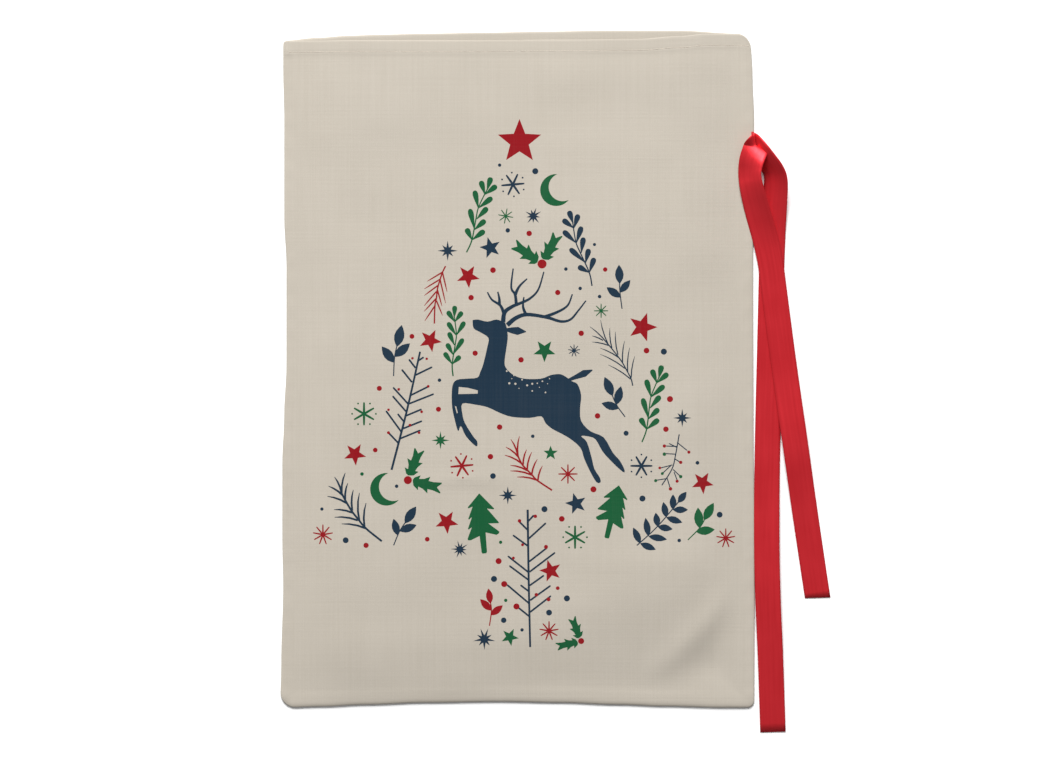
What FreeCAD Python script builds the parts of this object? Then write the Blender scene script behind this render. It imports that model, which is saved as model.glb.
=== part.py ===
import FreeCAD, Part
import math
import os

import Sketcher

# Cotton gift sack with a satin tie ribbon sewn into its right side seam.
# The sack lies empty on its back: +Z is up out of the printed face, +Y points to the mouth and +X to the
# ribbon. The origin is the middle of the sack's underside. All lengths are millimetres.

os.makedirs("parts", exist_ok=True)
doc = FreeCAD.newDocument("gift_sack")

# ---------------------------------------------------------------- driving dimensions

SIZES = (
    ("half_width", 230.0, "half the sack's width"),
    ("half_length", 330.0, "half the back panel's length"),
    ("front_setback", 6.0, "how far the front mouth edge stops short of the back one"),
    ("cloth_thick", 0.45, "one layer of cotton canvas"),
    ("seam_allow", 12.0, "width of the edge turned in at the side and bottom seams"),
    ("seam_gap", 0.7, "room between the two turned-in edges, where the seam thread runs"),
    ("hem_depth", 12.5, "depth of the double-turned mouth hem"),
    ("stitch_inset", 1.2, "distance from the hem's fold to its row of stitches"),
    ("loft_rise", 5.5, "how far the front panel stands above its seams"),
    ("slope_run", 68.0, "width of the sloping border between seam and loft"),
    ("corner_radius", 15.0, "round of the two bottom corners"),
    ("thread_size", 0.3, "seam thread"),
    ("seam_inset", 0.6, "distance from the sack's edge to the seam thread"),
    ("overlock_width", 4.2, "band of thread over the raw edges"),
    ("topstitch_rise", 0.2, "how far the hem stitches stand on the cloth"),
    ("topstitch_width", 0.5, "width of the hem stitches"),
    ("ribbon_width", 25.0, "satin ribbon"),
    ("ribbon_thick", 0.25, "one ply of the ribbon"),
    ("ribbon_centre", 220.0, "height of the sewn ribbon above the sack's middle"),
    ("ribbon_caught", 7.5, "depth of ribbon held inside the seam"),
    ("ribbon_clear", 0.3, "gap between the sack's edge and the loose ribbon"),
    ("fold_reach", 9.4, "how far the ribbon stands out before its diagonal fold"),
)

sheet = doc.addObject("Spreadsheet::Sheet", "Sizes")
for row, (alias, value, meaning) in enumerate(SIZES, start=1):
    sheet.set("A%d" % row, alias)
    sheet.set("B%d" % row, str(value))
    sheet.set("C%d" % row, meaning)
    sheet.setAlias("B%d" % row, alias)
doc.recompute()

# Heights that follow from the driving dimensions, written as formulas of the sheet's cells.
BACK_TOP = "Sizes.cloth_thick"
BACK_SEAM_TOP = "2 * Sizes.cloth_thick"
FRONT_SEAM_BASE = "(2 * Sizes.cloth_thick + Sizes.seam_gap)"
FRONT_RIM_BASE = "(3 * Sizes.cloth_thick + Sizes.seam_gap)"
FRONT_RIM_TOP = "(4 * Sizes.cloth_thick + Sizes.seam_gap)"
LOFT_BASE = "(3 * Sizes.cloth_thick + Sizes.seam_gap + Sizes.loft_rise)"
LOFT_TOP = "(4 * Sizes.cloth_thick + Sizes.seam_gap + Sizes.loft_rise)"
HEM_UNDER = "(Sizes.cloth_thick + Sizes.seam_gap + Sizes.loft_rise)"

# Places across and along the sack.
SEAM_X = "(Sizes.half_width - Sizes.seam_allow)"
SEAM_Y = "(Sizes.half_length - Sizes.seam_allow)"
LOFT_X = "(Sizes.half_width - Sizes.seam_allow - Sizes.slope_run)"
LOFT_Y = "(Sizes.half_length - Sizes.seam_allow - Sizes.slope_run)"
FRONT_MOUTH_Y = "(Sizes.half_length - Sizes.front_setback)"


# ---------------------------------------------------------------- helpers

def negative(formula):
    return "-1 * (%s)" % formula


def origin_plane(body, role):
    return next(item for item in body.Origin.OriginFeatures if item.Role == role)


def new_body(name):
    body = doc.addObject("PartDesign::Body", name)
    body.Label = name
    return body


def outline_sketch(body, name, role, points, height):
    """A closed outline on one of the body's own planes, every corner bound to the sheet."""
    sketch = body.newObject("Sketcher::SketchObject", name)
    sketch.AttachmentSupport = (origin_plane(body, role), [""])
    sketch.MapMode = "FlatFace"
    sketch.setExpression("AttachmentOffset.Base.z", height)
    count = len(points)
    for index in range(count):
        start = FreeCAD.Vector(index, 0, 0)
        end = FreeCAD.Vector(index + 1, index + 1, 0)
        sketch.addGeometry(Part.LineSegment(start, end))
    for index in range(count):
        following = (index + 1) % count
        sketch.addConstraint(Sketcher.Constraint("Coincident", index, 2, following, 1))
    for index, formulas in enumerate(points):
        for kind, formula in zip(("DistanceX", "DistanceY"), formulas):
            rule = sketch.addConstraint(Sketcher.Constraint(kind, -1, 1, index, 1, index + 1.0))
            sketch.setExpression("Constraints[%d]" % rule, formula)
    return sketch


def pad(body, name, sketch, length):
    feature = body.newObject("PartDesign::Pad", name)
    feature.Profile = sketch
    feature.setExpression("Length", length)
    doc.recompute()
    return feature


def loft(body, kind, name, first, last):
    feature = body.newObject("PartDesign::" + kind, name)
    feature.Profile = first
    feature.Sections = [last]
    feature.Ruled = True
    doc.recompute()
    return feature


def rectangle(half_x, low_y, high_y):
    return (
        (negative(half_x), negative(low_y)),
        (half_x, negative(low_y)),
        (half_x, high_y),
        (negative(half_x), high_y),
    )


def turned_edges(mouth_y):
    """The U-shaped band where the sides and the bottom are turned in."""
    return (
        (negative("Sizes.half_width"), negative("Sizes.half_length")),
        ("Sizes.half_width", negative("Sizes.half_length")),
        ("Sizes.half_width", mouth_y),
        (SEAM_X, mouth_y),
        (SEAM_X, negative(SEAM_Y)),
        (negative(SEAM_X), negative(SEAM_Y)),
        (negative(SEAM_X), mouth_y),
        (negative("Sizes.half_width"), mouth_y),
    )


def round_bottom_corners(body):
    """Fillet the upright edges at the two bottom corners of the panel."""
    base = body.Tip
    names = []
    for number, edge in enumerate(base.Shape.Edges, start=1):
        box = edge.BoundBox
        at_side = abs(abs(box.Center.x) - sheet.half_width) < 0.01
        at_bottom = abs(box.Center.y + sheet.half_length) < 0.01
        upright = box.ZLength > 0.1 and box.XLength < 0.01 and box.YLength < 0.01
        if at_side and at_bottom and upright:
            names.append("Edge%d" % number)
    feature = body.newObject("PartDesign::Fillet", body.Name + "_corners")
    feature.Base = (base, names)
    feature.setExpression("Radius", "Sizes.corner_radius")
    doc.recompute()


def plain_box(name, low, size):
    """A straight run of thread or ribbon, placed by its lowest corner."""
    box = doc.addObject("Part::Box", name)
    box.Label = name
    for axis, formula in zip(("x", "y", "z"), low):
        box.setExpression("Placement.Base." + axis, formula)
    for side, formula in zip(("Length", "Width", "Height"), size):
        box.setExpression(side, formula)
    return box


# ---------------------------------------------------------------- the two panels

def make_back_panel():
    """Flat cloth, with its sides and bottom turned in and a double-turned hem at the mouth."""
    body = new_body("back_panel")
    cloth = rectangle("Sizes.half_width", "Sizes.half_length", "Sizes.half_length")
    pad(body, "back_cloth", outline_sketch(body, "back_outline", "XY_Plane", cloth, "0"),
        "Sizes.cloth_thick")
    edges = turned_edges("Sizes.half_length")
    pad(body, "back_turned_edges", outline_sketch(body, "back_edges", "XY_Plane", edges, BACK_TOP),
        "Sizes.cloth_thick")
    hem = rectangle(SEAM_X, "Sizes.hem_depth - Sizes.half_length", "Sizes.half_length")
    pad(body, "back_hem", outline_sketch(body, "back_hem_outline", "XY_Plane", hem, BACK_TOP),
        "2 * Sizes.cloth_thick")
    round_bottom_corners(body)
    return body


def make_front_cloth():
    """The same cut of cloth, lofted above the back so that the empty sack stands a little open."""
    body = new_body("front_whole")
    cloth = rectangle("Sizes.half_width", "Sizes.half_length", FRONT_MOUTH_Y)
    pad(body, "front_cloth", outline_sketch(body, "front_outline", "XY_Plane", cloth, FRONT_RIM_BASE),
        "Sizes.cloth_thick")
    rim = rectangle(SEAM_X, SEAM_Y, FRONT_MOUTH_Y)
    top = rectangle(LOFT_X, LOFT_Y, FRONT_MOUTH_Y)
    loft(body, "AdditiveLoft", "front_loft",
         outline_sketch(body, "loft_rim_outer", "XY_Plane", rim, FRONT_RIM_TOP),
         outline_sketch(body, "loft_top_outer", "XY_Plane", top, LOFT_TOP))
    loft(body, "SubtractiveLoft", "front_hollow",
         outline_sketch(body, "loft_rim_inner", "XY_Plane", rim, FRONT_RIM_BASE),
         outline_sketch(body, "loft_top_inner", "XY_Plane", top, LOFT_BASE))
    edges = turned_edges(FRONT_MOUTH_Y)
    pad(body, "front_turned_edges", outline_sketch(body, "front_edges", "XY_Plane", edges, FRONT_SEAM_BASE),
        "Sizes.cloth_thick")
    hem = (
        (negative(SEAM_X), FRONT_RIM_BASE),
        (negative(LOFT_X), HEM_UNDER),
        (LOFT_X, HEM_UNDER),
        (SEAM_X, FRONT_RIM_BASE),
        (LOFT_X, LOFT_BASE),
        (negative(LOFT_X), LOFT_BASE),
    )
    pad(body, "front_hem", outline_sketch(body, "front_hem_outline", "XZ_Plane", hem, negative(FRONT_MOUTH_Y)),
        "Sizes.hem_depth")
    round_bottom_corners(body)
    return body


def front_fields():
    """Outlines of the four flat fields that the loft's creases divide the front cloth into."""
    left, right = negative("Sizes.half_width"), "Sizes.half_width"
    loft_left, loft_right = negative(LOFT_X), LOFT_X
    foot, loft_foot = negative("Sizes.half_length"), negative(LOFT_Y)
    return {
        "left_field": ((left, foot), (loft_left, loft_foot), (loft_left, FRONT_MOUTH_Y), (left, FRONT_MOUTH_Y)),
        "right_field": ((right, foot), (right, FRONT_MOUTH_Y), (loft_right, FRONT_MOUTH_Y), (loft_right, loft_foot)),
        "foot_field": ((left, foot), (right, foot), (loft_right, loft_foot), (loft_left, loft_foot)),
        "middle_field": rectangle(LOFT_X, LOFT_Y, FRONT_MOUTH_Y),
    }


def make_front_panel():
    """The front cloth as four fields that meet at its creases, each one thin and nearly flat."""
    cloth = make_front_cloth()
    fields = []
    for name, outline in front_fields().items():
        block = new_body(name + "_block")
        pad(block, name + "_prism", outline_sketch(block, name + "_outline", "XY_Plane", outline, "0"),
            LOFT_TOP + " + Sizes.cloth_thick")
        field = doc.addObject("Part::Common", name)
        field.Base = cloth
        field.Tool = block
        fields.append(field)
    panel = doc.addObject("Part::Compound", "front_panel")
    panel.Label = "front_panel"
    panel.Links = fields
    return panel


# ---------------------------------------------------------------- thread

def make_front_hem_stitching():
    """One row of stitches that follows the front panel's loft."""
    body = new_body("front_hem_stitching")
    rise = " + Sizes.topstitch_rise"
    row = (
        (negative(SEAM_X), FRONT_RIM_TOP),
        (negative(LOFT_X), LOFT_TOP),
        (LOFT_X, LOFT_TOP),
        (SEAM_X, FRONT_RIM_TOP),
        (SEAM_X, FRONT_RIM_TOP + rise),
        (LOFT_X, LOFT_TOP + rise),
        (negative(LOFT_X), LOFT_TOP + rise),
        (negative(SEAM_X), FRONT_RIM_TOP + rise),
    )
    place = negative(FRONT_MOUTH_Y + " - Sizes.hem_depth + Sizes.stitch_inset")
    pad(body, "front_stitch_row", outline_sketch(body, "front_stitch_path", "XZ_Plane", row, place),
        "Sizes.topstitch_width")
    return body


def make_back_hem_stitching():
    low = (
        negative(SEAM_X),
        "Sizes.half_length - Sizes.hem_depth + Sizes.stitch_inset",
        "3 * Sizes.cloth_thick",
    )
    return plain_box("back_hem_stitching", low,
                     ("2 * " + SEAM_X, "Sizes.topstitch_width", "Sizes.topstitch_rise"))


def make_side_threads(side, direction):
    """The lockstitch and the overlock of one side seam; direction is -1 on the left, 1 on the right."""
    outer = "Sizes.half_width - Sizes.seam_inset"
    if direction > 0:
        stitch_x = outer + " - Sizes.thread_size"
        overlock_x = SEAM_X
    else:
        stitch_x = negative(outer)
        overlock_x = negative(SEAM_X + " + Sizes.overlock_width")
    low_y = "Sizes.corner_radius - Sizes.half_length"
    run = "2 * Sizes.half_length - Sizes.corner_radius - Sizes.front_setback"
    stitch = plain_box(side + "_seam_thread", (stitch_x, low_y, BACK_SEAM_TOP),
                       ("Sizes.thread_size", run, "Sizes.thread_size"))
    bound_run = run + " - Sizes.hem_depth"
    overlock = plain_box(side + "_overlock", (overlock_x, low_y, BACK_SEAM_TOP),
                         ("Sizes.overlock_width", bound_run, "Sizes.thread_size"))
    return stitch, overlock


def make_bottom_threads():
    """The bottom seam runs between the two rounded corners."""
    low_x = "Sizes.corner_radius - Sizes.half_width"
    run = "2 * (Sizes.half_width - Sizes.corner_radius)"
    stitch = plain_box("bottom_seam_thread", (low_x, "Sizes.seam_inset - Sizes.half_length", BACK_SEAM_TOP),
                       (run, "Sizes.thread_size", "Sizes.thread_size"))
    overlock_y = "Sizes.seam_allow - Sizes.overlock_width - Sizes.half_length"
    bound_x = negative(SEAM_X)
    overlock = plain_box("bottom_overlock", (bound_x, overlock_y, BACK_SEAM_TOP),
                         ("2 * " + SEAM_X, "Sizes.overlock_width", "Sizes.thread_size"))
    return stitch, overlock


# ---------------------------------------------------------------- ribbon

RIBBON_LOW_Y = "Sizes.ribbon_centre - Sizes.ribbon_width / 2"
RIBBON_START_X = "(Sizes.half_width + Sizes.ribbon_clear)"


def make_ribbon_sewn_end():
    """The ribbon's folded middle, two plies held between the turned-in edges of the right seam."""
    low = ("Sizes.half_width - Sizes.ribbon_caught", RIBBON_LOW_Y, BACK_SEAM_TOP)
    return plain_box("ribbon_sewn_end", low,
                     ("Sizes.ribbon_caught", "Sizes.ribbon_width", "2 * Sizes.ribbon_thick"))


def leave_room_for_ribbon(thread):
    """The seam thread passes through the ribbon; its solid stops at each side of the two plies."""
    thread.Label = thread.Name + "_whole"
    room = plain_box("ribbon_room", ("Sizes.half_width - Sizes.ribbon_caught", RIBBON_LOW_Y, "0"),
                     ("Sizes.ribbon_caught", "Sizes.ribbon_width", "Sizes.loft_rise"))
    cut = doc.addObject("Part::Cut", thread.Name + "_runs")
    cut.Label = thread.Name
    cut.Base = thread
    cut.Tool = room
    return cut


def make_ribbon_fold():
    """Where both plies turn from straight out of the seam to down along the sack's side."""
    body = new_body("ribbon_fold")
    high_y = RIBBON_LOW_Y + " + Sizes.ribbon_width"
    corner_x = RIBBON_START_X + " + Sizes.fold_reach"
    outline = (
        (RIBBON_START_X, RIBBON_LOW_Y),
        (corner_x + " + Sizes.ribbon_width", RIBBON_LOW_Y),
        (corner_x, high_y),
        (RIBBON_START_X, high_y),
    )
    pad(body, "fold_plies", outline_sketch(body, "fold_outline", "XY_Plane", outline, BACK_SEAM_TOP),
        "2 * Sizes.ribbon_thick")
    return body


# Routes of the two loose halves: the middle line of the ribbon, from the fold to the cut end.
tail_x = sheet.half_width + sheet.ribbon_clear + sheet.fold_reach + sheet.ribbon_width / 2
tail_y = sheet.ribbon_centre - sheet.ribbon_width / 2
lower_ply = 2 * sheet.cloth_thick + sheet.ribbon_thick / 2
upper_ply = lower_ply + sheet.ribbon_thick
on_table = sheet.ribbon_thick / 2 + 0.01

LONG_ROUTE = (
    (tail_x, tail_y, lower_ply),
    (tail_x, 170.0, 0.5),
    (249.5, 118.0, 0.2),
    (246.2, 30.0, on_table),
    (244.2, -75.0, on_table),
    (243.2, -175.0, on_table),
    (245.2, -270.0, on_table),
    (249.5, -356.0, on_table),
)
SHORT_ROUTE = (
    (tail_x, tail_y, upper_ply),
    (tail_x, 172.0, 9.0),
    (248.4, 126.0, 6.0),
    (251.0, 74.0, 1.1),
    (262.0, -12.0, 0.8),
    (279.0, -124.0, 0.3),
    (293.6, -224.0, on_table),
)


def rounded_route(label, route):
    """Straight runs joined by tangent arcs, each arc as large as its two runs allow."""
    points = [FreeCAD.Vector(*place) for place in route]
    edges = []
    radii = []
    start = points[0]
    for before, corner, after in zip(points, points[1:], points[2:]):
        back = (before - corner).normalize()
        ahead = (after - corner).normalize()
        half_turn = (math.pi - back.getAngle(ahead)) / 2
        shorter = min((before - corner).Length, (after - corner).Length)
        reach = 0.45 * shorter
        radius = reach / math.tan(half_turn)
        inward = (back + ahead).normalize()
        middle = corner + inward * (radius / math.cos(half_turn) - radius)
        arc_start = corner + back * reach
        arc_end = corner + ahead * reach
        edges.append(Part.LineSegment(start, arc_start).toShape())
        edges.append(Part.Arc(arc_start, middle, arc_end).toShape())
        radii.append(radius)
        start = arc_end
    edges.append(Part.LineSegment(start, points[-1]).toShape())
    wire = Part.Wire(edges)
    print(label, "length %.1f radii" % wire.Length, ["%.0f" % radius for radius in radii])
    return wire


def make_tail(label, route):
    """A flat ribbon swept along its route, its width kept level."""
    path = rounded_route(label, route)
    start = FreeCAD.Vector(*route[0])
    heading = FreeCAD.Vector(*route[1]) - start
    heading.z = 0
    across = FreeCAD.Vector(0, 0, 1).cross(heading.normalize()) * (sheet.ribbon_width / 2)
    up = FreeCAD.Vector(0, 0, sheet.ribbon_thick / 2)
    corners = (start + across + up, start - across + up, start - across - up, start + across - up)
    section = Part.makePolygon(corners + corners[:1])
    sweep = Part.BRepOffsetAPI.MakePipeShell(path)
    sweep.setBiNormalMode(FreeCAD.Vector(0, 0, 1))
    sweep.add(section)
    sweep.build()
    sweep.makeSolid()
    tail = doc.addObject("Part::Feature", label)
    tail.Label = label
    tail.Shape = sweep.shape()
    tail.Placement = FreeCAD.Placement()
    expected = sheet.ribbon_width * sheet.ribbon_thick * path.Length
    print(label, "volume %.1f of %.1f" % (tail.Shape.Volume, expected))
    return tail


# ---------------------------------------------------------------- assembly

parts = [make_back_panel(), make_front_panel(), make_front_hem_stitching(), make_back_hem_stitching()]
left_thread, left_overlock = make_side_threads("left", -1)
right_thread, right_overlock = make_side_threads("right", 1)
bottom_thread, bottom_overlock = make_bottom_threads()
parts += [left_thread, leave_room_for_ribbon(right_thread), bottom_thread]
parts += [left_overlock, right_overlock, bottom_overlock]
parts += [make_ribbon_sewn_end(), make_ribbon_fold()]
parts += [make_tail("ribbon_long_tail", LONG_ROUTE), make_tail("ribbon_short_tail", SHORT_ROUTE)]
doc.recompute()

for item in doc.Objects:
    if "Invalid" in item.State or "Error" in item.State:
        raise RuntimeError("%s failed: %s" % (item.Label, item.State))
for part in parts:
    if part.Shape.isNull() or not part.Shape.isValid():
        raise RuntimeError("%s has no valid shape" % part.Label)
    part.Shape.exportStep("parts/%s.step" % part.Label)
    print("%-22s solids %d volume %9.1f" % (part.Label, len(part.Shape.Solids), part.Shape.Volume))
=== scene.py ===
import math

import bpy
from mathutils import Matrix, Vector, kdtree, noise
from mathutils.geometry import delaunay_2d_cdt


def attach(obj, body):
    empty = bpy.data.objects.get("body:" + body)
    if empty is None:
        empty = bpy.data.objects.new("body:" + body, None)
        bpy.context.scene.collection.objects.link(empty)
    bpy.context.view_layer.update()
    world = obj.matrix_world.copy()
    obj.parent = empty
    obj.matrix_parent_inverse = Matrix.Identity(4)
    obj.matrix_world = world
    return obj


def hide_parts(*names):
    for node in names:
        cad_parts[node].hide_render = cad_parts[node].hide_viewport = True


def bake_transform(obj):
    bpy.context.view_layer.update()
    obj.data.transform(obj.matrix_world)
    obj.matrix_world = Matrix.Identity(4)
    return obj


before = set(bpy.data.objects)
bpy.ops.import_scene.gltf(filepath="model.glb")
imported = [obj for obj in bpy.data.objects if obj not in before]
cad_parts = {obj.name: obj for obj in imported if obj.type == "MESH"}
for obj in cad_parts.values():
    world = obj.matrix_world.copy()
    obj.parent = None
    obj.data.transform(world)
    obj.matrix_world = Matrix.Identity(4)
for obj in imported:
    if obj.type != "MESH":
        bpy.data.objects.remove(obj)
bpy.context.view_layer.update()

# A natural cotton gift sack lying empty on its back, printed on its front, with a red satin tie ribbon sewn
# by its middle into the right side seam. Every length in this script is in millimetres until it is put into
# a mesh, a curve, a light, a material or the camera, which take metres.

MM = 0.001


def metres(point):
    return tuple(value * MM for value in point)


def polar(x, y, reach, turn):
    """The point at a distance from another, in a direction in degrees from +X."""
    return x + reach * math.cos(math.radians(turn)), y + reach * math.sin(math.radians(turn))


def in_scene(name, data):
    """A new object that holds some data, in the scene."""
    thing = bpy.data.objects.new(name, data)
    bpy.context.scene.collection.objects.link(thing)
    return thing


# ------------------------------------------------------------------ camera

SENSOR_WIDTH = 36.0
LENS = 85.0
VIEW_WIDTH = 1021.0
CLOTH_HEIGHT = 5.0
VIEW_CENTRE = (1.0, -10.8)

camera = in_scene("camera", bpy.data.cameras.new("camera"))
camera.data.lens = LENS
camera.data.sensor_width = SENSOR_WIDTH
camera.location = metres((*VIEW_CENTRE, VIEW_WIDTH * LENS / SENSOR_WIDTH + CLOTH_HEIGHT))
bpy.context.scene.camera = camera


# ------------------------------------------------------------------ meshes

def mesh_piece(name, points, faces, materials, face_materials=None, smooth=True):
    """A mesh object made of points in millimetres."""
    mesh = bpy.data.meshes.new(name)
    mesh.from_pydata([metres(point) for point in points], [], faces)
    for material in materials:
        mesh.materials.append(material)
    mesh.polygons.foreach_set("use_smooth", [smooth] * len(mesh.polygons))
    if face_materials is not None:
        mesh.polygons.foreach_set("material_index", face_materials)
    mesh.update()
    return in_scene(name, mesh)


def bridge(faces, ring, here, there):
    """Adds the faces between two copies of a closed ring; here and there are the copies' first points."""
    for a, b in zip(ring, ring[1:] + ring[:1]):
        faces.append((here + a, here + b, there + b, there + a))


THREAD_RADIUS = 0.21


def tube(points, faces, line, sides=5):
    """Adds a closed round thread along a line to the points and faces."""
    first = len(points)
    for index, place in enumerate(line):
        ahead = line[min(index + 1, len(line) - 1)] - line[max(index - 1, 0)]
        across = ahead.cross(Vector((0, 0, 1))).normalized()
        up = across.cross(ahead).normalized()
        for side in range(sides):
            angle = math.tau * side / sides
            points.append(place + (across * math.cos(angle) + up * math.sin(angle)) * THREAD_RADIUS)
    ring = list(range(sides))
    last = first + (len(line) - 1) * sides
    for start in range(first, last, sides):
        bridge(faces, ring, start, start + sides)
    faces.append(tuple(first + side for side in reversed(ring)))
    faces.append(tuple(last + side for side in ring))


# ------------------------------------------------------------------ materials

THREAD_PITCH = 0.55


class Look:
    """A material in the making, with short ways to add nodes before its shader."""

    def __init__(self, name):
        self.material = bpy.data.materials.new(name)
        self.material.use_nodes = True
        self.tree = self.material.node_tree

    def put(self, sockets, values):
        """Fills sockets by name: each value is a number, a colour or another node's output."""
        for name, value in values.items():
            if isinstance(value, bpy.types.NodeSocket):
                self.tree.links.new(value, sockets[name])
            else:
                sockets[name].default_value = value

    def add(self, kind, output, values, **settings):
        node = self.tree.nodes.new("ShaderNode" + kind)
        for name, value in settings.items():
            setattr(node, name, value)
        self.put(node.inputs, values)
        return node.outputs[output]

    def shade(self, values):
        self.put(self.tree.nodes["Principled BSDF"].inputs, values)
        return self.material

    def noise(self, vector, scale, detail=2.0):
        return self.add("TexNoise", "Fac", {"Vector": vector, "Scale": scale, "Detail": detail})

    def stretched(self, vector, scale):
        """Noise drawn out along the axes whose scale is small."""
        return self.noise(self.add("Mapping", "Vector", {"Vector": vector, "Scale": scale}), 1.0)

    def math(self, operation, first, second=0.0):
        return self.add("Math", "Value", {0: first, 1: second}, operation=operation)

    def total(self, *parts):
        """Values added up, each with its weight."""
        value, weight = parts[0]
        result = self.math("MULTIPLY", value, weight)
        for value, weight in parts[1:]:
            result = self.math("ADD", result, self.math("MULTIPLY", value, weight))
        return result

    def mixed(self, factor, first, second):
        return self.add("Mix", 2, {0: factor, 6: first, 7: second}, data_type="RGBA")

    def ranged(self, value, low, high, low_to=0.0, high_to=1.0):
        return self.add("MapRange", "Result", {"Value": value, "From Min": low, "From Max": high,
                                               "To Min": low_to, "To Max": high_to})

    def bump(self, height, distance, strength=1.0):
        return self.add("Bump", "Normal", {"Height": height, "Distance": distance * MM, "Strength": strength})

    def weave(self, vector):
        """A plain weave: threads along X and Y that pass over and under each other."""
        waves = []
        for axis in ("X", "Y"):
            along = self.add("SeparateXYZ", axis, {"Vector": vector})
            waves.append(self.math("SINE", self.math("MULTIPLY", along, math.pi / (THREAD_PITCH * MM))))
        return self.math("ABSOLUTE", self.math("MULTIPLY", *waves))


COTTON_LIGHT = (0.462, 0.421, 0.362, 1)
COTTON_DARK = (0.422, 0.382, 0.323, 1)
WARP_STRETCH, WEFT_STRETCH = (520.0, 9.0, 9.0), (9.0, 520.0, 9.0)


def cloth_material(name, ink=None, see_through=0.0):
    """Plain-weave cotton with slubs in both directions, and ink over it where there is any."""
    look = Look(name)
    place = look.add("TexCoord", "Object", {})
    cloud = look.noise(place, 9.0, 4.0)
    fleck = look.noise(place, 700.0)
    slubs = look.total((look.stretched(place, WARP_STRETCH), 1.0), (look.stretched(place, WEFT_STRETCH), 0.6))
    tone = look.total((slubs, 0.42), (cloud, 0.45), (fleck, 0.25))
    colour = look.mixed(look.ranged(tone, 0.52, 0.98), COTTON_DARK, COTTON_LIGHT)
    if ink is not None:
        bare = look.math("MULTIPLY", look.ranged(tone, 0.62, 1.0), see_through)
        colour = look.mixed(bare, (*ink, 1), colour)
    return look.shade({
        "Base Color": colour,
        "Roughness": look.ranged(fleck, 0.3, 0.7, 0.82, 0.95),
        "Specular IOR Level": 0.12,
        "Sheen Weight": 0.05 if ink is None else 0.02,
        "Sheen Roughness": 0.6,
        "Normal": look.bump(look.total((look.weave(place), 0.6), (slubs, 1.0)), 0.16, 0.7),
    })


def thread_material():
    """Spun thread: a fine twist along every stitch."""
    look = Look("sewing_thread")
    place = look.add("TexCoord", "Object", {})
    twist = look.add("TexWave", "Fac", {"Vector": place, "Scale": 900.0, "Distortion": 2.0},
                     bands_direction="DIAGONAL")
    return look.shade({
        "Base Color": look.mixed(twist, (0.52, 0.45, 0.37, 1), (0.70, 0.63, 0.54, 1)),
        "Roughness": 0.75,
        "Normal": look.bump(twist, 0.08),
    })


def satin_material():
    """Polyester satin: long floats along the ribbon give a soft stretched shine, with fine cross ribs."""
    look = Look("satin")
    along = look.add("UVMap", "UV", {}, uv_map="ribbon")
    floats = look.stretched(along, (500.0, 12.0, 1.0))
    cloud = look.stretched(along, (25.0, 25.0, 1.0))
    ribs = look.add("TexWave", "Fac", {"Vector": along, "Scale": 380.0, "Distortion": 0.6},
                    bands_direction="Y")
    tone = look.ranged(look.total((floats, 0.5), (cloud, 0.5)), 0.35, 0.65)
    return look.shade({
        "Base Color": look.mixed(tone, (0.64, 0.021, 0.030, 1), (0.72, 0.029, 0.040, 1)),
        "Roughness": look.ranged(floats, 0.3, 0.7, 0.42, 0.52),
        "Metallic": 0.6,
        "Specular IOR Level": 0.35,
        "Anisotropic": 0.6,
        "Sheen Weight": 0.06,
        "Sheen Roughness": 0.35,
        "Sheen Tint": (1.0, 0.45, 0.45, 1.0),
        "Tangent": look.add("Tangent", "Tangent", {}, direction_type="UV_MAP", uv_map="ribbon"),
        "Normal": look.bump(look.total((ribs, 0.5), (floats, 1.0)), 0.05, 0.6),
    })


cotton = cloth_material("cotton")
PRINTED = [
    cotton,
    cloth_material("ink_red", (0.225, 0.003, 0.007), 0.03),
    cloth_material("ink_green", (0.005, 0.080, 0.027), 0.03),
    cloth_material("ink_navy", (0.008, 0.024, 0.045), 0.025),
]
COLOUR_INDEX = {"bare": 0, "red": 1, "green": 2, "navy": 3}
sewing_thread = thread_material()
satin = satin_material()


# ------------------------------------------------------------------ ribbon

RIBBON_WIDTH = 25.0
RIBBON_THICK = 0.25
RIBBON_WAVE, RIBBON_WAVE_LENGTH = 0.25, 17.0
FLOOR_GAP = 0.05
SHORT_END_SLANT = 1.5
SPLINE_STEPS = 14
ACROSS_STEPS = 10
SEAM_EXIT = (230.3, 220.0, 1.15)

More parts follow.
